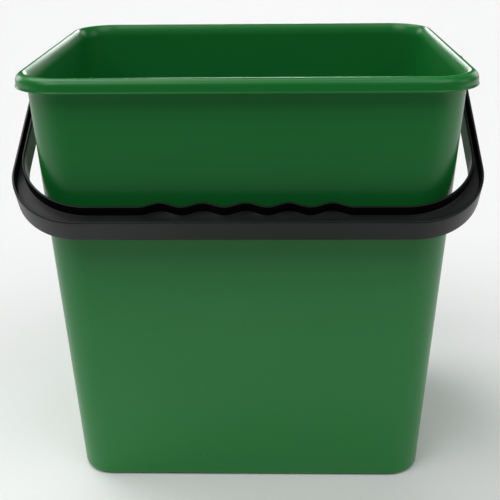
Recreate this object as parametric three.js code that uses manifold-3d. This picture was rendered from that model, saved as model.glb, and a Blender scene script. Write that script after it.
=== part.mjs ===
// Rectangular florist bucket: a moulded pail and its moulded bail handle.
// Millimetres, +Z up. The origin is the centre of the underside. The grip hangs in front, at -Y.

import * as THREE from 'three';
import { mergeVertices } from 'three/addons/utils/BufferGeometryUtils.js';
import Module from 'manifold-3d';

const wasm = await Module();
wasm.setup();

// Pail
const height = 254;
const rimWidth = 250;
const rimDepth = 205;
const rimCorner = 29;
const baseWidth = 213;
const baseDepth = 168;
const baseCorner = 20;
const baseEdge = 3;
const wall = 2;
const floorThickness = 2.4;
const floorFillet = 5;

// Rim: the wall turns outwards and hangs down as a skirt with a small lip
const overhang = 6;
const skirtDrop = 7.4;
const skirtThickness = 1.9;
const rimRound = 4.4;
const lipFlare = 0.5;
const lipHeight = 0.9;
const mouthFlare = 3;
const mouthDepth = 5.6;

// Pivot: a lug hanging from the skirt on each side, and a pin on each arm
const pivotDrop = 16;
const pinRadius = 3.8;
const pinClearance = 0.4;
const pinHeadLip = 1.3;
const pinHeadThickness = 2.2;
const pinHeadGap = 0.5;
const lugThickness = 2.3;
const lugHalfWidth = 14;
const lugBelowPivot = 12;
const lugCorner = 9;
const lugRib = 2;

// Handle: in its own plane the arms run from the pivot at 0 to the grip
const handleWidth = 15;
const armThickness = 5;
const armGap = 0.5;
const gripThickness = 12;
const outerBend = 39.5;
const innerBend = 40;
const rimClearance = 8.1;
const fingerPitch = 23.2;
const fingerCrests = 5;
const fingerHeight = 3;
const flange = 1.4;
const handleWeb = 2;
const handleChamfer = 0.7;
const eyeMargin = 2;
const pocketMargin = 5;
const restGap = 0.4;

// Fineness of the faceted curves
const cornerSteps = 7;
const roundSteps = 4;
const bendSteps = 14;
const waveSteps = 8;
const circleSteps = 32;

const pivotHeight = height - pivotDrop;
const armInner = rimWidth / 2 + armGap;
const armOuter = armInner + armThickness;
const crestReach = Math.hypot(rimDepth / 2, pivotDrop) + rimClearance;
const innerReach = crestReach + fingerHeight;
const outerReach = innerReach + gripThickness;
const quarterTurn = Math.PI / 2;

function lerp(from, to, share) {
  return from + (to - from) * share;
}

// Outer wall section at a height, moved inwards by an inset
function wallRing(z, inset) {
  const share = z / height;
  return {
    halfX: lerp(baseWidth / 2, rimWidth / 2 - overhang, share) - inset,
    halfY: lerp(baseDepth / 2, rimDepth / 2 - overhang, share) - inset,
    corner: lerp(baseCorner, rimCorner - overhang, share) - inset,
    z,
  };
}

// Rim outline moved inwards by an inset
function rimRing(z, inset) {
  return {
    halfX: rimWidth / 2 - inset,
    halfY: rimDepth / 2 - inset,
    corner: rimCorner - inset,
    z,
  };
}

function axisPoint(z) {
  return { halfX: 0, halfY: 0, corner: 0, z };
}

// Points of a rounded rectangle, counter-clockwise from the front right corner
function ringPoints({ halfX, halfY, corner }) {
  const points = [];
  for (const [signX, signY, start] of [[1, -1, 3], [1, 1, 0], [-1, 1, 1], [-1, -1, 2]]) {
    for (let step = 0; step <= cornerSteps; step++) {
      const angle = (start + step / cornerSteps) * quarterTurn;
      points.push([
        signX * (halfX - corner) + corner * Math.cos(angle),
        signY * (halfY - corner) + corner * Math.sin(angle),
      ]);
    }
  }
  return points;
}

// A lathe whose circles are replaced by rounded rectangles, one for each ring
function squaredLathe(rings) {
  const sections = rings.map(ringPoints);
  const around = sections[0].length;
  const profile = rings.map((ring) => new THREE.Vector2(ring.halfX, ring.z));
  const geometry = new THREE.LatheGeometry(profile, around);
  const position = geometry.getAttribute('position');
  for (let side = 0; side <= around; side++) {
    for (let level = 0; level < rings.length; level++) {
      const [x, y] = sections[level][side % around];
      position.setXYZ(side * rings.length + level, x, y, rings[level].z);
    }
  }
  return geometry;
}

// Closed geometry to solid, without the zero triangles at a lathe's poles
function toSolid(geometry) {
  const bare = geometry.clone();
  bare.deleteAttribute('normal');
  bare.deleteAttribute('uv');
  const merged = mergeVertices(bare, 1e-4);
  const corners = merged.index.array;
  const kept = [];
  for (let t = 0; t < corners.length; t += 3) {
    const [a, b, c] = [corners[t], corners[t + 1], corners[t + 2]];
    if (a !== b && b !== c && c !== a) kept.push(a, b, c);
  }
  return new wasm.Manifold(new wasm.Mesh({
    numProp: 3,
    vertProperties: merged.getAttribute('position').array,
    triVerts: Uint32Array.from(kept),
  }));
}

function toGeometry(solid) {
  const { vertProperties, triVerts } = solid.getMesh();
  const geometry = new THREE.BufferGeometry();
  geometry.setAttribute('position', new THREE.BufferAttribute(vertProperties, 3));
  geometry.setIndex(new THREE.BufferAttribute(triVerts, 1));
  geometry.computeVertexNormals();
  return geometry;
}

// Cylinder along X between two places
function barAlongX(radius, fromX, toX) {
  const geometry = new THREE.CylinderGeometry(radius, radius, Math.abs(toX - fromX), circleSteps);
  geometry.rotateZ(quarterTurn);
  geometry.translate((fromX + toX) / 2, 0, 0);
  return toSolid(geometry);
}

// Pail with a solid inside: base, walls, and the turned-out rim with its skirt
function pailOutside() {
  const rings = [axisPoint(0)];
  for (let step = 0; step <= roundSteps; step++) {
    const angle = (step / roundSteps) * quarterTurn;
    rings.push(wallRing(baseEdge * (1 - Math.cos(angle)), baseEdge * (1 - Math.sin(angle))));
  }
  const skirtBottom = height - skirtDrop;
  const roundCentre = height - rimRound;
  rings.push(wallRing(height - skirtThickness, 0));
  for (let step = roundSteps; step >= 0; step--) {
    const angle = (step / roundSteps) * quarterTurn;
    const radius = rimRound - skirtThickness;
    const inset = lipFlare + rimRound - radius * Math.cos(angle);
    rings.push(rimRing(roundCentre + radius * Math.sin(angle), inset));
  }
  rings.push(rimRing(skirtBottom, lipFlare + skirtThickness));
  rings.push(rimRing(skirtBottom, 0));
  rings.push(rimRing(skirtBottom + lipHeight, 0));
  rings.push(rimRing(skirtBottom + lipHeight + lipFlare, lipFlare));
  for (let step = 0; step <= roundSteps; step++) {
    const angle = (step / roundSteps) * quarterTurn;
    const inset = lipFlare + rimRound * (1 - Math.cos(angle));
    rings.push(rimRing(roundCentre + rimRound * Math.sin(angle), inset));
  }
  rings.push(axisPoint(height));
  return toSolid(squaredLathe(rings));
}

// The hollow of the pail, rounded into the floor and flared out to the crest of the rim
function pailHollow() {
  const rings = [axisPoint(floorThickness)];
  for (let step = 0; step <= roundSteps; step++) {
    const angle = (step / roundSteps) * quarterTurn;
    const rise = floorFillet * (1 - Math.cos(angle));
    rings.push(wallRing(floorThickness + rise, wall + floorFillet * (1 - Math.sin(angle))));
  }
  for (let step = 0; step <= roundSteps; step++) {
    const angle = (step / roundSteps) * quarterTurn;
    const inset = wall - mouthFlare * (1 - Math.cos(angle));
    rings.push(wallRing(height - mouthDepth * (1 - Math.sin(angle)), inset));
  }
  rings.push({ ...wallRing(height, wall - mouthFlare), z: height + wall });
  rings.push(axisPoint(height + wall));
  return toSolid(squaredLathe(rings));
}

// One lug: a plate with the pivot hole, and a rib down each edge back to the wall
function pivotLug(side) {
  const bottom = -lugBelowPivot;
  const top = pivotDrop - skirtDrop + lipHeight;
  const outline = new THREE.Shape();
  outline.moveTo(lugHalfWidth, top);
  outline.lineTo(-lugHalfWidth, top);
  outline.absarc(-lugHalfWidth + lugCorner, bottom + lugCorner, lugCorner, Math.PI, Math.PI * 1.5);
  outline.absarc(lugHalfWidth - lugCorner, bottom + lugCorner, lugCorner, Math.PI * 1.5, Math.PI * 2);
  const hole = new THREE.Path();
  hole.absarc(0, 0, pinRadius + pinClearance, 0, Math.PI * 2);
  outline.holes.push(hole);
  const plate = new THREE.ExtrudeGeometry(outline, {
    depth: lugThickness,
    bevelEnabled: false,
    curveSegments: circleSteps / 2,
  });
  plate.rotateX(quarterTurn);
  plate.rotateZ(quarterTurn);
  plate.translate(side > 0 ? rimWidth / 2 - lugThickness : -rimWidth / 2, 0, pivotHeight);
  let lug = toSolid(plate);
  const ribInner = wallRing(0, wall).halfX;
  const ribOuter = rimWidth / 2 - lugThickness / 2;
  const ribBottom = pivotHeight + bottom + lugCorner;
  const ribTop = height - skirtThickness / 2;
  for (const edge of [-1, 1]) {
    const rib = new THREE.BoxGeometry(ribOuter - ribInner, lugRib, ribTop - ribBottom);
    rib.translate(
      side * (ribInner + ribOuter) / 2,
      edge * (lugHalfWidth - lugRib / 2),
      (ribBottom + ribTop) / 2,
    );
    lug = lug.add(toSolid(rib));
  }
  return lug;
}

function bucketBody() {
  return pailOutside().add(pivotLug(1)).add(pivotLug(-1)).subtract(pailHollow());
}

// Inner edge of the handle from the right arm to the left, moved into the section by an inset
function innerEdge(shape, inset) {
  const sideX = armInner + inset;
  const reach = innerReach + inset;
  const radius = innerBend + inset;
  const waveEnd = (fingerCrests / 2) * fingerPitch;
  const steps = fingerCrests * waveSteps;
  shape.absarc(sideX - radius, reach - radius, radius, 0, quarterTurn);
  for (let step = 0; step <= steps; step++) {
    const x = lerp(waveEnd, -waveEnd, step / steps);
    shape.lineTo(x, reach - fingerHeight * Math.cos((Math.PI * x) / fingerPitch) ** 2);
  }
  shape.absarc(radius - sideX, reach - radius, radius, quarterTurn, Math.PI);
}

// Outer edge of the handle from the left arm to the right, moved into the section by an inset
function outerEdge(shape, inset) {
  const centreX = armOuter - outerBend;
  const centreY = outerReach - outerBend;
  const radius = outerBend - inset;
  shape.absarc(-centreX, centreY, radius, Math.PI, quarterTurn, true);
  shape.absarc(centreX, centreY, radius, quarterTurn, 0, true);
}

// Flat U between the two edges, from one depth to another, with its open end at a start
function handlePlate({ start, inset, from, to, chamfer }) {
  const shape = new THREE.Shape();
  shape.moveTo(armInner + inset, start);
  innerEdge(shape, inset);
  shape.lineTo(-armInner - inset, start);
  shape.lineTo(-armOuter + inset, start);
  outerEdge(shape, inset);
  shape.lineTo(armOuter - inset, start);
  const plate = new THREE.ExtrudeGeometry(shape, {
    depth: to - from - 2 * chamfer,
    bevelEnabled: chamfer > 0,
    bevelThickness: chamfer,
    bevelSize: chamfer,
    bevelOffset: -chamfer,
    bevelSegments: 1,
    curveSegments: bendSteps,
  });
  plate.translate(0, 0, from + chamfer);
  return toSolid(plate);
}

// Handle in its own plane: X across the pail, Y from the pivot to the grip, Z through the section
function bailHandle() {
  const half = handleWidth / 2;
  const eyeRadius = half + eyeMargin;
  let handle = handlePlate({ start: 0, inset: 0, from: -half, to: half, chamfer: handleChamfer });
  for (const face of [-1, 1]) {
    const pocket = {
      start: eyeRadius + pocketMargin,
      inset: flange,
      from: Math.min((face * handleWeb) / 2, face * handleWidth),
      to: Math.max((face * handleWeb) / 2, face * handleWidth),
      chamfer: 0,
    };
    handle = handle.subtract(handlePlate(pocket));
  }
  const headOuter = rimWidth / 2 - lugThickness - pinHeadGap;
  const headInner = headOuter - pinHeadThickness;
  for (const side of [-1, 1]) {
    handle = handle
      .add(barAlongX(eyeRadius, side * armInner, side * armOuter))
      .add(barAlongX(pinRadius, side * headInner, side * (armInner + armThickness / 2)))
      .add(barAlongX(pinRadius + pinHeadLip, side * headInner, side * headOuter));
  }
  return handle;
}

// Dip of the handle below level when the back of its finger crests rests on the front wall
function restDip() {
  const slope = (rimDepth / 2 - overhang - baseDepth / 2) / height;
  const level = baseDepth / 2 + slope * pivotHeight + restGap;
  const half = handleWidth / 2;
  const edges = [
    [crestReach + handleChamfer, -half],
    [crestReach, handleChamfer - half],
  ];
  const dips = edges.map(([reach, depth]) => {
    const across = reach - slope * depth;
    const along = depth + slope * reach;
    return Math.atan2(along, across) + Math.acos(level / Math.hypot(across, along));
  });
  return Math.min(...dips);
}

const greenPlastic = new THREE.MeshStandardMaterial({ color: 0x2a6b3a, roughness: 0.35, metalness: 0 });
const blackPlastic = new THREE.MeshStandardMaterial({ color: 0x1b1d1c, roughness: 0.45, metalness: 0 });

const bucket = new THREE.Mesh(toGeometry(bucketBody()), greenPlastic);
bucket.name = 'bucket_body';

const handle = new THREE.Mesh(toGeometry(bailHandle()), blackPlastic);
handle.name = 'bail_handle';
handle.position.z = pivotHeight;
handle.rotation.x = Math.PI + restDip();

const group = new THREE.Group();
group.add(bucket, handle);

export default group;
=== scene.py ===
import math
import bpy
import numpy as np
from mathutils import Matrix


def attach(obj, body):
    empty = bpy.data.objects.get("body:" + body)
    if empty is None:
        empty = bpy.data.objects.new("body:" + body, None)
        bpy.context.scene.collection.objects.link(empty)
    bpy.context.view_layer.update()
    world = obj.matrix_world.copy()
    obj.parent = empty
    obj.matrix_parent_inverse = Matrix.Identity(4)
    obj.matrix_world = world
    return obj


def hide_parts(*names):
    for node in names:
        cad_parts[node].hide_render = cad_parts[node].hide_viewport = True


print("loading the packed model")
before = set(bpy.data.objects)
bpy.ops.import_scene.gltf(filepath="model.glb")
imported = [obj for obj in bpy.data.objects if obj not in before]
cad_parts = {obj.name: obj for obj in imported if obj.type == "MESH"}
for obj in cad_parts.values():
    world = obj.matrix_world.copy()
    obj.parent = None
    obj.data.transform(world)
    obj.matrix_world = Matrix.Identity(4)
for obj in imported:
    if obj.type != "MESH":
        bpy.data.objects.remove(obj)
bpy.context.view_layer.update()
mm = 0.001
scene = bpy.context.scene


# One socket of a material. Arithmetic on it adds Math nodes.
class Signal:
    def __init__(self, tree, socket=None):
        self.tree = tree
        self.socket = socket

    # any node: its type, its settings, then the values or links of its sockets
    def node(self, kind, settings=(), inputs=(), output=0):
        made = self.tree.nodes.new("ShaderNode" + kind)
        for name, value in dict(settings).items():
            if name == "stops":
                for spot, (place, tone) in zip(made.color_ramp.elements, value):
                    spot.position = place
                    spot.color = (tone, tone, tone, 1)
            else:
                setattr(made, name, value)
        for name, value in dict(inputs).items():
            if isinstance(value, Signal):
                self.tree.links.new(value.socket, made.inputs[name])
            else:
                made.inputs[name].default_value = value
        return Signal(self.tree, made.outputs[output])

    def math(self, operation, *values):
        return self.node("Math", {"operation": operation}, enumerate(values))

    def __add__(self, other):
        return self.math("ADD", self, other)

    def __sub__(self, other):
        return self.math("SUBTRACT", self, other)

    def __rsub__(self, other):
        return self.math("SUBTRACT", other, self)

    def __mul__(self, other):
        return self.math("MULTIPLY", self, other)

    __radd__ = __add__
    __rmul__ = __mul__


# A new material with its shader, and a signal that reads the piece's own coordinates
def plastic(name, look):
    material = bpy.data.materials.new(name)
    material.use_nodes = True
    tree = material.node_tree
    shader = tree.nodes["Principled BSDF"]
    shader.inputs["IOR"].default_value = look["ior"]
    shader.inputs["Specular IOR Level"].default_value = look["shine"]
    coords = Signal(tree).node("TexCoord", output="Object")
    return material, shader, coords


def noise(coords, scale, detail=2.0, stretch=(1, 1, 1)):
    placed = coords.node("Mapping", {}, {"Vector": coords, "Scale": stretch})
    inputs = {"Vector": placed, "Scale": scale, "Detail": detail}
    return coords.node("TexNoise", {}, inputs, "Fac")


def ramp(signal, low, high):
    settings = {"stops": [(low, 0.0), (high, 1.0)]}
    return signal.node("ValToRGB", settings, {"Fac": signal}, "Color")


def feed(shader, name, signal):
    signal.tree.links.new(signal.socket, shader.inputs[name])


greenLook = {
    "ior": 1.49,
    "shine": 0.42,
    "color": (0.0095, 0.207, 0.0345, 1),
    "paleColor": (0.0130, 0.235, 0.0415, 1),
    "rubbedColor": (0.06, 0.18, 0.085, 1),
    "roughness": 0.3,
    "roughnessSpread": 0.12,
    # noise scale and detail
    "cloudNoise": (9.0, 3.0),
    "rubNoise": (60.0, 6.0, (1.0, 1.0, 0.25)),
    "patchNoise": (11.0, 2.0),
    "scratchNoise": (160.0, 4.0, (1.0, 1.0, 0.04)),
    "smudgeNoise": (22.0, 4.0),
    "skinNoise": (900.0, 2.0),
    "swayNoise": (14.0, 1.0),
    # how strongly each shows
    "cloud": 0.6,
    "rubbed": 0.22,
    "rubbedRoughness": 0.04,
    "scratchedRoughness": 0.08,
    "skinHeight": 0.012,
    "scratchHeight": -0.02,
    "bumpStrength": 0.5,
    "bumpDistance": 0.0011,
}


def greenPlastic():
    look = greenLook
    material, shader, coords = plastic("green moulded plastic", look)
    cloud = noise(coords, *look["cloudNoise"])
    rubs = ramp(noise(coords, *look["rubNoise"]), 0.63, 0.78)
    patches = ramp(noise(coords, *look["patchNoise"]), 0.5, 0.75)
    scratches = ramp(noise(coords, *look["scratchNoise"]), 0.66, 0.74)
    wear = rubs * patches
    tone = coords.node(
        "Mix",
        {"data_type": "RGBA"},
        {0: cloud * look["cloud"], 6: look["color"], 7: look["paleColor"]},
        2,
    )
    worn = coords.node(
        "Mix",
        {"data_type": "RGBA"},
        {0: wear * look["rubbed"], 6: tone, 7: look["rubbedColor"]},
        2,
    )
    feed(shader, "Base Color", worn)
    smudge = noise(coords, *look["smudgeNoise"])
    rough = look["roughness"] + (smudge - 0.5) * look["roughnessSpread"]
    rough = rough + wear * look["rubbedRoughness"]
    feed(shader, "Roughness", rough + scratches * patches * look["scratchedRoughness"])
    skin = noise(coords, *look["skinNoise"])
    sway = noise(coords, *look["swayNoise"])
    height = skin * look["skinHeight"] + sway + scratches * patches * look["scratchHeight"]
    inputs = {
        "Strength": look["bumpStrength"],
        "Distance": look["bumpDistance"],
        "Height": height,
    }
    bump = coords.node("Bump", {}, inputs)
    feed(shader, "Normal", bump)
    return material


blackLook = {
    "ior": 1.49,
    "shine": 0.29,
    "color": (0.0062, 0.0070, 0.0068, 1),
    "dustyColor": (0.015, 0.016, 0.016, 1),
    "roughness": 0.36,
    "roughnessSpread": 0.16,
    # noise scale and detail
    "dustNoise": (45.0, 5.0),
    "smudgeNoise": (35.0, 4.0),
    "grainNoise": (1400.0, 2.0),
    "swayNoise": (60.0, 1.0),
    # how strongly each shows
    "dust": 0.5,
    "dustRoughness": 0.08,
    "grainHeight": 0.05,
    "swayHeight": 0.25,
    "bumpStrength": 0.4,
    "bumpDistance": 0.0008,
}


def blackPlastic():
    look = blackLook
    material, shader, coords = plastic("black moulded plastic", look)
    dust = ramp(noise(coords, *look["dustNoise"]), 0.48, 0.8)
    tone = coords.node(
        "Mix",
        {"data_type": "RGBA"},
        {0: dust * look["dust"], 6: look["color"], 7: look["dustyColor"]},
        2,
    )
    feed(shader, "Base Color", tone)
    smudge = noise(coords, *look["smudgeNoise"])
    rough = look["roughness"] + (smudge - 0.5) * look["roughnessSpread"]
    feed(shader, "Roughness", rough + dust * look["dustRoughness"])
    grain = noise(coords, *look["grainNoise"])
    sway = noise(coords, *look["swayNoise"])
    inputs = {
        "Strength": look["bumpStrength"],
        "Distance": look["bumpDistance"],
        "Height": grain * look["grainHeight"] + sway * look["swayHeight"],
    }
    bump = coords.node("Bump", {}, inputs)
    feed(shader, "Normal", bump)
    return material


# Faces of a grid of points numbered row by row, closed across its columns, and across
# its rows too if asked
def gridFaces(rows, columns, closeRows=False):
    lines = np.arange(rows if closeRows else rows - 1)[:, None]
    places = np.arange(columns)[None, :]
    following = (places + 1) % columns
    above = (lines + 1) % rows
    corners = [
        lines * columns + places,
        lines * columns + following,
        above * columns + following,
        above * columns + places,
    ]
    return np.stack(np.broadcast_arrays(*corners), -1).reshape(-1, 4)


# A piece from grid points (rows, columns, 3) in millimetres. Doubled points are merged, which
# closes poles and seams, and the faces are turned outwards by the sign of the enclosed volume.
def addPiece(name, points, material, body, closeRows=False):
    rows, columns, _ = points.shape
    flat = points.reshape(-1, 3)
    faces = gridFaces(rows, columns, closeRows)
    _, first, merged = np.unique(
        np.round(flat, 4), axis=0, return_index=True, return_inverse=True
    )
    flat = flat[first]
    faces = merged.reshape(-1)[faces]
    corners = [flat[faces[:, place]] for place in range(4)]
    halves = np.cross(corners[1], corners[2]) + np.cross(corners[2], corners[3])
    if np.sum(corners[0] * halves) < 0:
        faces = faces[:, ::-1]
    # a face with one doubled corner is a triangle, and one with more has no area
    same = faces == np.roll(faces, 1, axis=1)
    single = same.sum(axis=1) == 1
    triangles = faces[single][~same[single]].reshape(-1, 3).tolist()
    quads = faces[~same.any(axis=1)].tolist()
    mesh = bpy.data.meshes.new(name)
    mesh.from_pydata((flat * mm).tolist(), [], quads + triangles)
    mesh.validate()
    mesh.shade_smooth()
    mesh.materials.append(material)
    made = bpy.data.objects.new(name, mesh)
    scene.collection.objects.link(made)
    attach(made, body)
    return made


# Rounded rectangles, one for each row of half widths, half depths and corner radii (rows, 4),
# counter-clockwise from the front right: four quarter circles and the straight runs between
def roundedRings(halfX, halfY, radii, arcSteps, runShares):
    start = np.array([-1, 0, 1, 2])[:, None] * math.pi / 2
    angle = start + np.linspace(0, math.pi / 2, arcSteps + 1)
    signs = np.array([(1, -1), (1, 1), (-1, 1), (-1, -1)])
    half = np.stack([halfX, halfY], -1)[:, None, None, :]
    radius = radii[:, :, None, None]
    turn = np.stack([np.cos(angle), np.sin(angle)], -1)
    arcs = signs[:, None, :] * (half - radius) + radius * turn
    shares = np.array(runShares)[:, None]
    ends = arcs[:, :, -1:]
    starts = np.roll(arcs[:, :, :1], -1, axis=1)
    runs = ends + shares * (starts - ends)
    return np.concatenate([arcs, runs], axis=2).reshape(len(arcs), -1, 2)


# A quarter turn in even steps, as its sines and cosines
def quarter(steps):
    angle = np.linspace(0, math.pi / 2, steps + 1)
    return np.sin(angle), np.cos(angle)


bucket = {
    "height": 254.0,
    "rim": (250.0, 205.0, 29.0),  # width, depth, corner radius
    "base": (213.0, 168.0, 20.0),
    "baseEdge": 3.0,
    "wall": 2.0,
    "floor": 2.4,
    "floorFillet": 5.0,
    "overhang": 6.0,
    "skirtDrop": 7.4,
    "skirt": 1.9,
    "rimRound": 4.4,
    "lipFlare": 0.5,
    "lipHeight": 0.9,
    "lipRound": 0.25,
    "lipHollow": 0.5,  # height of the hollow above the lip
    "lipBend": 0.8,  # power that bends the lip's slope
    "mouthFlare": 3.0,
    "mouthDepth": 7.2,
    "mouthRise": 2.6,  # how far the flare follows the wall before it turns
    "mouthKnee": (1.5, 0.9),
    "underRound": 0.8,
    "arcSteps": 20,
    "wallRows": 24,
}


# The pail's skin as a grid: rows follow the section from the middle of the underside, up the
# outside, round the rim and down the inside to the middle of the floor. Each row is a rounded
# rectangle that is blended from the base's to the mouth's by its height, or follows the rim.
def bucketSkin():
    size = bucket
    top = size["height"]
    rows = []

    def wallRow(z, inset):
        share = z / top
        base = np.array(size["base"]) / (2, 2, 1)
        mouth = np.array(size["rim"]) / (2, 2, 1) - size["overhang"]
        rows.append((*(base + (mouth - base) * share - inset), z))

    def rimRow(z, inset):
        halfX, halfY, corner = np.array(size["rim"]) / (2, 2, 1) - inset
        rows.append((halfX, halfY, corner, z))

    def pole(z, ring):
        rows.extend([(0, 0, 0, z), (*(np.array(ring) * 0.5), z)])

    edge, wall = size["baseEdge"], size["wall"]
    underside = np.array(size["base"]) / (2, 2, 1) - edge
    pole(0.0, underside)
    wallRow(0.0, edge + 0.6)
    for sine, cosine in zip(*quarter(8)):
        wallRow(edge * (1 - cosine), edge * (1 - sine))
    for z in [edge + 0.8, *np.linspace(12, top - 14, size["wallRows"])]:
        wallRow(z, 0.0)
    # the rim's underside, its skirt and lip, and the round over the top
    under = top - size["skirt"]
    fillet = size["underRound"]
    for sine, cosine in zip(*quarter(4)):
        wallRow(under - fillet * (1 - sine), -fillet * (1 - cosine))
    flare, rimRound = size["lipFlare"], size["rimRound"]
    bend = rimRound - size["skirt"]
    for sine, cosine in zip(*quarter(6)):
        rimRow(top - rimRound + bend * cosine, flare + rimRound - bend * sine)
    low = top - size["skirtDrop"]
    soft = size["lipRound"]
    for sine, cosine in zip(*quarter(2)):
        rimRow(low + soft * (1 - sine), flare + size["skirt"] - soft * (1 - cosine))
    for sine, cosine in zip(*quarter(3)):
        rimRow(low + soft * (1 - cosine), soft * (1 - sine))
    # the lip slopes back to the skirt by a power of its height, and meets it in a hollow
    for share in np.linspace(0, 1, 5):
        rimRow(low + soft + 0.1 + size["lipHeight"] * share, flare * share ** size["lipBend"])
    rimRow(low + soft + size["lipHeight"] + size["lipHollow"], flare)
    for sine, cosine in zip(*quarter(10)):
        rimRow(top - rimRound + rimRound * sine, flare + rimRound * (1 - cosine))
    # the flare leaves the wall along it and turns to the crest: a cubic curve over four points
    depth = size["mouthDepth"]
    points = [(0, depth), (0, depth - size["mouthRise"]), size["mouthKnee"]]
    ends = np.array([*points, (size["mouthFlare"], 0)])
    share = np.linspace(1, 0, 15)[:, None]
    rest = 1 - share
    curve = rest**3 * ends[0] + 3 * share * rest**2 * ends[1]
    curve = curve + 3 * share**2 * rest * ends[2] + share**3 * ends[3]
    for out, down in curve:
        wallRow(top - down, wall - out)
    wallRow(top - depth - 0.5, wall)
    fillet = size["floorFillet"]
    floorTop = size["floor"] + fillet
    for z in [*np.linspace(top - 9, floorTop + 8, size["wallRows"]), floorTop + 1]:
        wallRow(z, wall)
    for sine, cosine in zip(*quarter(8)):
        wallRow(floorTop - fillet * sine, wall + fillet * (1 - cosine))
    wallRow(size["floor"], wall + fillet + 1)
    inside = np.array(rows[-1][:3]) * 0.5
    rows.extend([(*inside, size["floor"]), (0, 0, 0, size["floor"])])
    halfX, halfY, corner, z = np.array(rows).T
    # places along each straight run, close together beside the corners
    shares = [0.004, 0.03, 0.2, 0.35, 0.5, 0.65, 0.8, 0.97, 0.996]
    corners = np.repeat(corner[:, None], 4, 1)
    rings = roundedRings(halfX, halfY, corners, size["arcSteps"], shares)
    heights = np.broadcast_to(z[:, None, None], (*rings.shape[:2], 1))
    return np.concatenate([rings, heights], -1)


lug = {
    "pivotDrop": 16.0,
    "thickness": 2.3,
    "halfWidth": 14.0,
    "below": 12.0,
    "corner": 9.0,
    "rib": 2.0,
    "hole": 4.2,
    "edge": 0.4,
    "topCorner": 0.6,
    "sunk": 0.6,  # how far its ribs run into the wall
}


# A plate with a hole: rows go round, and each row's columns follow the section from the hole's
# inner edge, over one face, round the outline and back over the other face
def lugPlate(side):
    size = lug
    top = size["pivotDrop"] - bucket["skirtDrop"] + bucket["lipHeight"]
    halfHigh = (top + size["below"]) / 2
    radii = np.array([[size["corner"], size["topCorner"], size["topCorner"], size["corner"]]])
    half = np.array([size["halfWidth"]]), np.array([halfHigh])
    outline = roundedRings(*half, radii, 12, np.linspace(0.1, 0.9, 9))[0]
    outline = outline + (0, top - halfHigh)
    angle = np.arctan2(outline[:, 1], outline[:, 0])
    circle = np.stack([np.cos(angle), np.sin(angle)], -1)
    thick, edge = size["thickness"], size["edge"]
    sine, cosine = quarter(3)
    inset = np.concatenate([edge * (1 - sine), edge * (1 - cosine[::-1])])
    depth = np.concatenate([edge * (1 - cosine), thick - edge * (1 - sine[::-1])])
    outward = outline - (0, top - halfHigh)
    outward /= np.linalg.norm(outward, axis=1, keepdims=True)
    outer = outline[:, None] - outward[:, None] * inset[None, :, None]
    inner = circle[:, None] * (size["hole"] + inset[None, ::-1, None])
    section = np.concatenate([outer, inner], axis=1)
    depths = np.concatenate([depth, depth[::-1]])
    x = np.broadcast_to(side * (bucket["rim"][0] / 2 - depths), section.shape[:2])
    pivot = bucket["height"] - size["pivotDrop"]
    return np.stack([x, section[..., 0], section[..., 1] + pivot], -1)


# A rib is a bar of rounded square section from inside the wall to inside the plate. Its
# columns go round the section and its rows go outwards along X, closed by a point at each end.
def lugRib(side, edgeSide):
    size = lug
    pivot = bucket["height"] - size["pivotDrop"]
    low = pivot - size["below"] + size["corner"]
    high = bucket["height"] - bucket["mouthDepth"]
    halfHigh, halfWide = (high - low) / 2, size["rib"] / 2
    opened = np.array([0, 1, 1, 0])
    radii = np.outer(opened * size["edge"], np.ones(4))
    rings = roundedRings(halfWide * opened, halfHigh * opened, radii, 4, [0.1, 0.5, 0.9])
    share = low / bucket["height"]
    baseHalf = bucket["base"][0] / 2
    mouthHalf = bucket["rim"][0] / 2 - bucket["overhang"]
    inner = baseHalf + (mouthHalf - baseHalf) * share - size["sunk"]
    outer = bucket["rim"][0] / 2 - size["thickness"] / 2
    x = side * np.array([inner, inner, outer, outer])
    x = np.broadcast_to(x[:, None], rings.shape[:2])
    y = rings[..., 0] + edgeSide * (size["halfWidth"] - halfWide)
    z = rings[..., 1] + (low + high) / 2
    return np.stack([x, y, z], -1)


handle = {
    "width": 15.0,
    "armThickness": 5.0,
    "armGap": 0.5,
    "gripThickness": 12.0,
    "outerBend": 39.5,
    "innerBend": 40.0,
    "rimClearance": 8.1,
    "fingerPitch": 23.2,
    "fingerCrests": 5,
    "fingerHeight": 3.0,
    "flange": 1.4,
    "web": 2.0,
    "cadChamfer": 0.7,
    "round": 0.75,
    "pocketRound": 0.35,
    "pocketFillet": 0.5,
    "ledge": 0.6,  # half the length of the slope into a pocket
    "eyeMargin": 2.0,
    "pocketMargin": 5.0,
    "restGap": 0.4,
}
armInner = bucket["rim"][0] / 2 + handle["armGap"]
armOuter = armInner + handle["armThickness"]
crestReach = math.hypot(bucket["rim"][1] / 2, lug["pivotDrop"]) + handle["rimClearance"]
innerReach = crestReach + handle["fingerHeight"]
outerReach = innerReach + handle["gripThickness"]
pivotHeight = bucket["height"] - lug["pivotDrop"]


# How far below level the handle hangs when the back of its crests meets the front wall
def restDip():
    halfDepth = bucket["base"][1] / 2
    mouthHalf = bucket["rim"][1] / 2 - bucket["overhang"]
    slope = (mouthHalf - halfDepth) / bucket["height"]
    level = halfDepth + slope * pivotHeight + handle["restGap"]
    half, chamfer = handle["width"] / 2, handle["cadChamfer"]
    reach = np.array([crestReach + chamfer, crestReach])
    depth = np.array([-half, chamfer - half])
    across = reach - slope * depth
    along = depth + slope * reach
    return np.min(np.arctan2(along, across) + np.arccos(level / np.hypot(across, along)))


# Points in the handle's own plane (across, along, through) to places in the room
def hung(across, along, through):
    dip = restDip()
    y = -along * math.cos(dip) + through * math.sin(dip)
    z = pivotHeight - along * math.sin(dip) - through * math.cos(dip)
    return np.stack([across, y, z], -1)


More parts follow.
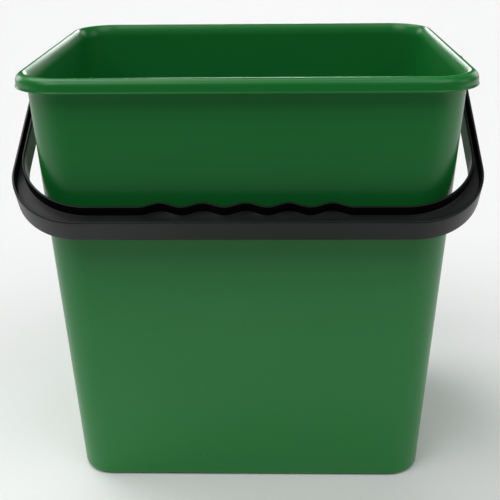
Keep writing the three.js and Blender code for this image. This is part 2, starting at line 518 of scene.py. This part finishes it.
# The bar's section as a loop round an H. Each place has its share of the way from the inner to
# the outer edge, its inset from that edge, its depth through the bar, and 1 inside a pocket.
def handleSection():
    size = handle
    half, web, flange = size["width"] / 2, size["web"] / 2, size["flange"]
    edge, lip, fillet = size["round"], size["pocketRound"], size["pocketFillet"]
    sine, cosine = quarter(5)
    lipSine, lipCosine = quarter(3)
    face = np.linspace(0, half - edge, 5)
    parts = [
        (face * 0, face, 0),
        (edge * (1 - cosine), half - edge * (1 - sine), 0),
        (flange - lip * (1 - lipSine), half - lip * (1 - lipCosine), 1),
        (flange + fillet * (1 - lipCosine), web + fillet * (1 - lipSine), 1),
        (np.array([flange + fillet]), np.array([web]), 1),
    ]
    inset = np.concatenate([part[0] for part in parts])
    depth = np.concatenate([part[1] for part in parts])
    inPocket = np.concatenate([part[0] * 0 + part[2] for part in parts])
    share = np.where(np.arange(len(inset)) < len(inset) - 1, 0, 0.5)
    # a quarter of the loop so far: mirror it to the outer edge, then through the bar
    share = np.concatenate([share, 1 - share[-2::-1]])
    inset, depth, inPocket = (
        np.concatenate([row, row[-2::-1]]) for row in (inset, depth, inPocket)
    )
    share, inset, inPocket = (
        np.concatenate([row, row[-2:0:-1]]) for row in (share, inset, inPocket)
    )
    return share, inset, np.concatenate([depth, -depth[-2:0:-1]]), inPocket


# Rows along the bar from the right eye to the left one: places on the inner and outer edge, the
# way from one to the other, half the bar's width, the depth of the pocket's floor, and the
# angle round the end of the eye
def handleRows():
    size = handle
    half, web, ledge = size["width"] / 2, size["web"] / 2, size["ledge"]
    eye = half + size["eyeMargin"]
    pocketStart = eye + size["pocketMargin"]
    bendStart = innerReach - size["innerBend"]
    cap = np.linspace(0, math.pi / 2, 17)
    neck = np.linspace(0, pocketStart - 2, 13)[1:]
    step = np.linspace(-1, 1, 7)
    run = np.linspace(pocketStart + ledge + 1, bendStart, 12)
    along = np.concatenate([cap * 0, neck, pocketStart + ledge * step, run])
    # the arm narrows from the eye's circle to the bar's width: the cube root of both cubed and
    # added, stretched so that it starts at the eye's radius
    circle = np.sqrt(np.clip(eye**2 - along**2, 0, None))
    blend = (circle**3 + half**3) ** (1 / 3)
    wide = half + (blend - half) * (eye - half) / (blend[0] - half)
    drop = half + (web - half) * (0.5 + 0.5 * np.sin(step * math.pi / 2))
    level = np.concatenate([cap * 0 + half, neck * 0 + half, drop, run * 0 + web])
    # the outer edge's straight run is a little longer or shorter than the inner edge's
    innerX, outerX = armInner - size["innerBend"], armOuter - size["outerBend"]
    outerY = outerReach - size["outerBend"]
    start = pocketStart + ledge
    stretch = start + (along - start) * (outerY - start) / (bendStart - start)
    outerAlong = np.where(along > start, stretch, along)
    bend = np.linspace(0, math.pi / 2, 29)[1:]
    turn = np.stack([np.cos(bend), np.sin(bend)], -1)
    # the grip, whose crests are a squared cosine
    grip = np.linspace(1, 0, 81)[1:]
    gripX = innerX * grip
    wave = size["fingerHeight"] * np.cos(math.pi * gripX / size["fingerPitch"]) ** 2
    wave = np.where(np.abs(gripX) < size["fingerCrests"] / 2 * size["fingerPitch"], wave, 0)
    inner = np.concatenate([
        np.stack([along * 0 + armInner, along], -1),
        (innerX, bendStart) + size["innerBend"] * turn,
        np.stack([gripX, innerReach - wave], -1),
    ])
    outer = np.concatenate([
        np.stack([along * 0 + armOuter, outerAlong], -1),
        (outerX, outerY) + size["outerBend"] * turn,
        np.stack([outerX * grip, grip * 0 + outerReach], -1),
    ])
    armWay, gripWay = np.tile((1, 0), (len(along), 1)), np.tile((0, 1), (len(grip), 1))
    way = np.concatenate([armWay, turn, gripWay])
    rest = np.concatenate([bend, grip])
    wide = np.concatenate([wide, rest * 0 + half])
    level = np.concatenate([level, rest * 0 + web])
    cap = np.concatenate([cap, np.full(len(inner) - len(cap), math.pi / 2)])
    # the left half mirrors the right
    inner, outer, way = (
        np.concatenate([rows, rows[-2::-1] * (-1, 1)]) for rows in (inner, outer, way)
    )
    wide, level, cap = (np.concatenate([rows, rows[-2::-1]]) for rows in (wide, level, cap))
    return inner, outer, way, wide[:, None], level[:, None], cap[:, None]


# The handle's bar as a grid: the section carried along both edges. In the arms it widens from
# the bar's half width to the eye's, and at the ends it turns round the eye.
def handleBar():
    share, inset, depth, inPocket = handleSection()
    inner, outer, way, wide, level, cap = handleRows()
    half, edge = handle["width"] / 2, handle["round"]
    step = inset[:, None] * way[:, None]
    atInner = inner[:, None] + step
    atOuter = outer[:, None] - step
    flat = atInner + share[:, None] * (atOuter - atInner)
    height = np.abs(depth)
    height = np.where(inPocket > 0, np.maximum(height, level), height)
    rounded = height > half - edge
    outmost = wide - half + height
    through = np.where(rounded, outmost, height * (wide - edge) / (half - edge))
    reach = np.where(rounded, outmost, wide - edge)
    through = np.sign(depth) * through * np.sin(cap)
    return hung(flat[..., 0], flat[..., 1] - reach * np.cos(cap), through)


pin = {
    "radius": 3.8,
    "headLip": 1.3,
    "headThickness": 2.2,
    "headGap": 0.5,
    "round": 0.5,
    "shoulderRound": 0.3,
    "foot": 0.3,  # how much wider its end is inside the eye
    "sunk": 1.2,
}


# A pin turned about the pivot line: rows are (place along it, radius), columns go round
def pivotPin(side):
    size = pin
    headOuter = bucket["rim"][0] / 2 - lug["thickness"] - size["headGap"]
    headInner = headOuter - size["headThickness"]
    headRadius = size["radius"] + size["headLip"]
    sine, cosine = quarter(4)
    edge, shoulder = size["round"], size["shoulderRound"]
    place = np.concatenate([
        [headInner], headInner + edge * (1 - cosine), headOuter - edge * (1 - sine),
        headOuter + shoulder * (1 - cosine), armInner - shoulder * (1 - sine),
        [armInner + size["sunk"]] * 2,
    ])
    radius = np.concatenate([
        [0], headRadius - edge * (1 - sine), headRadius - edge * (1 - cosine),
        size["radius"] + shoulder * (1 - sine), size["radius"] + shoulder * (1 - cosine),
        [size["radius"] + size["foot"], 0],
    ])
    angle = np.linspace(0, 2 * math.pi, 48, endpoint=False)
    x = side * np.broadcast_to(place[:, None], (len(place), len(angle)))
    along = radius[:, None] * np.cos(angle)
    through = radius[:, None] * np.sin(angle)
    return hung(x, along, through)


print("materials")
green = greenPlastic()
black = blackPlastic()

print("bucket")
shell = addPiece("bucket_shell", bucketSkin(), green, "bucket")
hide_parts("bucket_body")
for side, sideName in ((-1, "left"), (1, "right")):
    plate = addPiece("lug_plate_" + sideName, lugPlate(side), green, "bucket", True)
    for edgeSide, edgeName in ((-1, "front"), (1, "back")):
        name = "lug_rib_" + sideName + "_" + edgeName
        addPiece(name, lugRib(side, edgeSide), green, "bucket")

print("handle")
bar = addPiece("handle_bar", handleBar(), black, "handle")
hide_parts("bail_handle")
for side, sideName in ((-1, "left"), (1, "right")):
    addPiece("pivot_pin_" + sideName, pivotPin(side), black, "handle")

print("floor, lights and camera")
studio = {
    "floorColor": (0.95, 0.95, 0.95, 1),
    # painted shade: the dark grey that the floor turns to towards the front, standing in for
    # the dim room there; the two places below say where it turns
    "paintedFrontShade": (0.16, 0.16, 0.16, 1),
    "shadeFade": (-0.60, -0.26),  # the floor turns from paintedFrontShade to floorColor between these
    "floorSize": 12.0,
    "floorRoughness": 0.9,
    "floorShine": 0.1,
    "worldColor": (0.96, 0.98, 1.0, 1),
    "worldStrength": 0.06,
}
# name, bearing (0 is the front, 90 the right), height above the floor and width in degrees,
# and strength
lamps = [
    ("highLeftBack", 232, 57, 40, 1.15),
    ("highLeftFront", -46, 55, 40, 1.00),
    ("highRightFront", 46, 55, 40, 0.66),
    ("overhead", 180, 80, 30, 0.24),
    ("lowBackRight", 145, 11, 24, 0.26),
    ("lowBackLeft", 225, 11, 24, 0.42),
    ("lowBack", 180, 9, 20, 0.78),
    ("left", 270, 11, 24, 0.02),
    ("right", 90, 22, 26, 0.18),
]


def addFloor():
    half = studio["floorSize"] / 2
    mesh = bpy.data.meshes.new("floor")
    corners = [(-half, -half, 0), (half, -half, 0), (half, half, 0), (-half, half, 0)]
    mesh.from_pydata(corners, [], [(0, 1, 2, 3)])
    material = bpy.data.materials.new("pale floor with painted front shade")
    material.use_nodes = True
    shader = material.node_tree.nodes["Principled BSDF"]
    place = Signal(material.node_tree).node("TexCoord", output="Object")
    # painted shade: the floor's colour darkens towards the front by its Y place, for the dim
    # room there
    depth = place.node("SeparateXYZ", {}, {"Vector": place}, "Y")
    shadeFade = {"Value": depth, "From Min": studio["shadeFade"][0], "From Max": studio["shadeFade"][1]}
    share = place.node("MapRange", {"interpolation_type": "SMOOTHSTEP"}, shadeFade)
    tones = {0: share, 6: studio["paintedFrontShade"], 7: studio["floorColor"]}
    feed(shader, "Base Color", place.node("Mix", {"data_type": "RGBA"}, tones, 2))
    shader.inputs["Roughness"].default_value = studio["floorRoughness"]
    shader.inputs["Specular IOR Level"].default_value = studio["floorShine"]
    mesh.materials.append(material)
    floor = bpy.data.objects.new("floor", mesh)
    scene.collection.objects.link(floor)


# A soft light from far away: a disc of sky, so wide that its shadows have no edge
def addLamp(name, bearing, rise, width, strength):
    light = bpy.data.lights.new(name, "SUN")
    light.angle = math.radians(width)
    light.energy = strength
    lamp = bpy.data.objects.new(name, light)
    lamp.rotation_euler = (math.radians(90 - rise), 0, math.radians(bearing))
    scene.collection.objects.link(lamp)


addFloor()
for lamp in lamps:
    addLamp(*lamp)
world = bpy.data.worlds.new("room")
world.use_nodes = True
scene.world = world
background = world.node_tree.nodes["Background"]
background.inputs["Color"].default_value = studio["worldColor"]
background.inputs["Strength"].default_value = studio["worldStrength"]

view = {
    "place": (0.01384, -0.56028, 0.34471),
    "down": 21.902,
    "turn": -1.486,
    "roll": -0.589,
    "lens": 65.05,
}
camera = bpy.data.objects.new("camera", bpy.data.cameras.new("camera"))
camera.data.lens = view["lens"]
camera.data.clip_start = 0.01
turned = Matrix.Rotation(math.radians(-view["turn"]), 4, "Z")
tipped = Matrix.Rotation(math.radians(90 - view["down"]), 4, "X")
rolled = Matrix.Rotation(math.radians(view["roll"]), 4, "Z")
camera.matrix_world = Matrix.Translation(view["place"]) @ turned @ tipped @ rolled
scene.collection.objects.link(camera)
scene.camera = camera
scene.view_settings.view_transform = "Standard"
